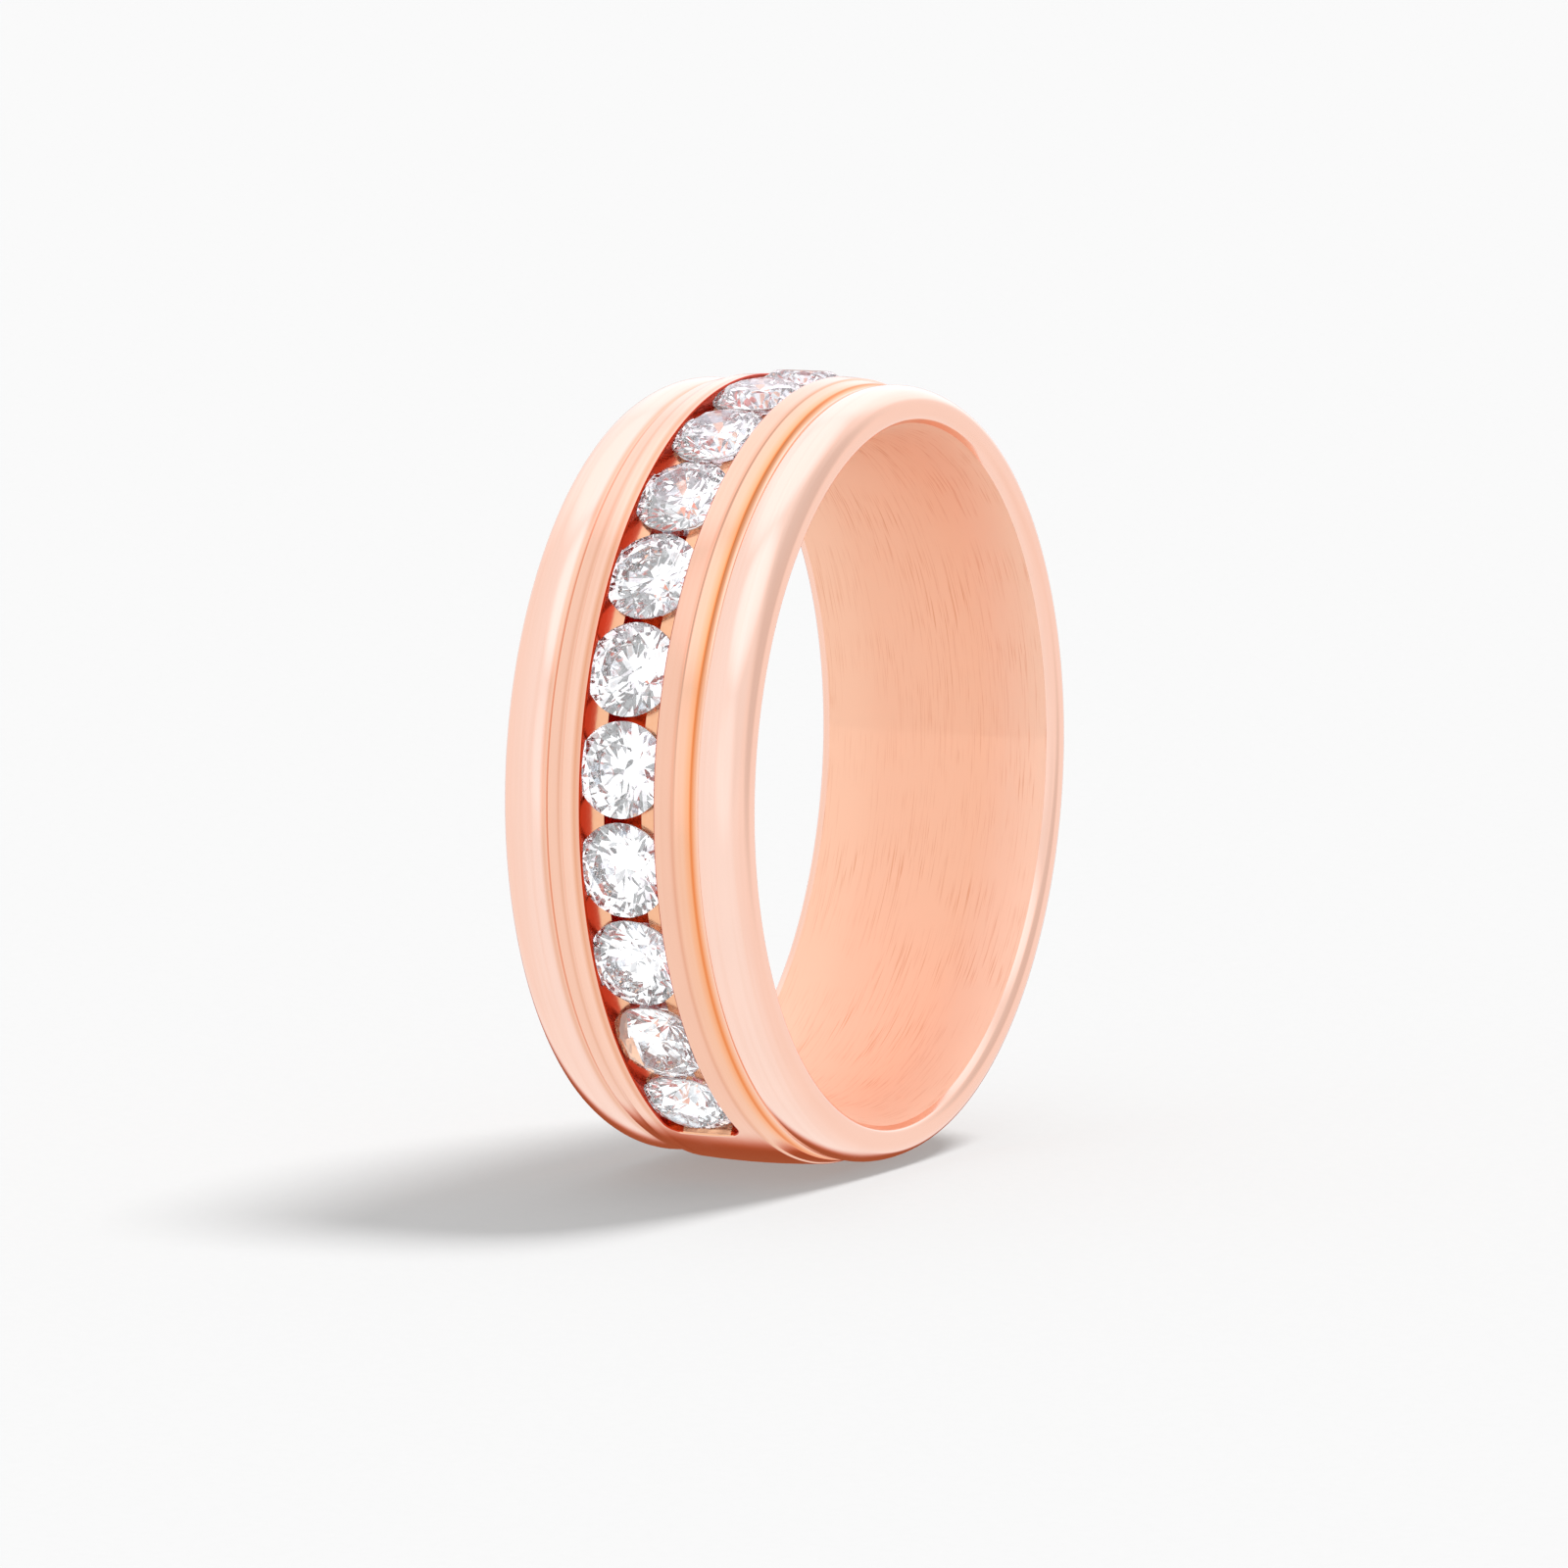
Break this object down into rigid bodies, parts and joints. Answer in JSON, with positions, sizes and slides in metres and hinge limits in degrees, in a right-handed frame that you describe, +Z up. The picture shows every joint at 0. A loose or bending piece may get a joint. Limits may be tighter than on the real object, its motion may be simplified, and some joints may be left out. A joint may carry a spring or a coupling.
{
  "type": "wedding band",
  "caption": "Polished channel-set wedding band with rounded side rails, a raised centre and a partial row of round brilliant stones.",
  "frame": {"origin": "centre of the finger hole, on its axis and on the band's middle plane", "axes": "+X along the finger hole, +Z up with the band standing on its rim, the row of stones towards -Y"},
  "size_m": [0.0078, 0.0233, 0.0233],
  "materials": {
    "rose_gold": "high polish outside, satin bore",
    "diamond": "polished facets"
  },
  "bodies": {
    "root": {"band": "rose_gold", "diamond_01": "diamond", "diamond_02": "diamond", "diamond_03": "diamond", "diamond_04": "diamond", "diamond_05": "diamond", "diamond_06": "diamond", "diamond_07": "diamond", "diamond_08": "diamond", "diamond_09": "diamond", "diamond_10": "diamond", "diamond_11": "diamond", "diamond_12": "diamond"}
  },
  "joints": []
}
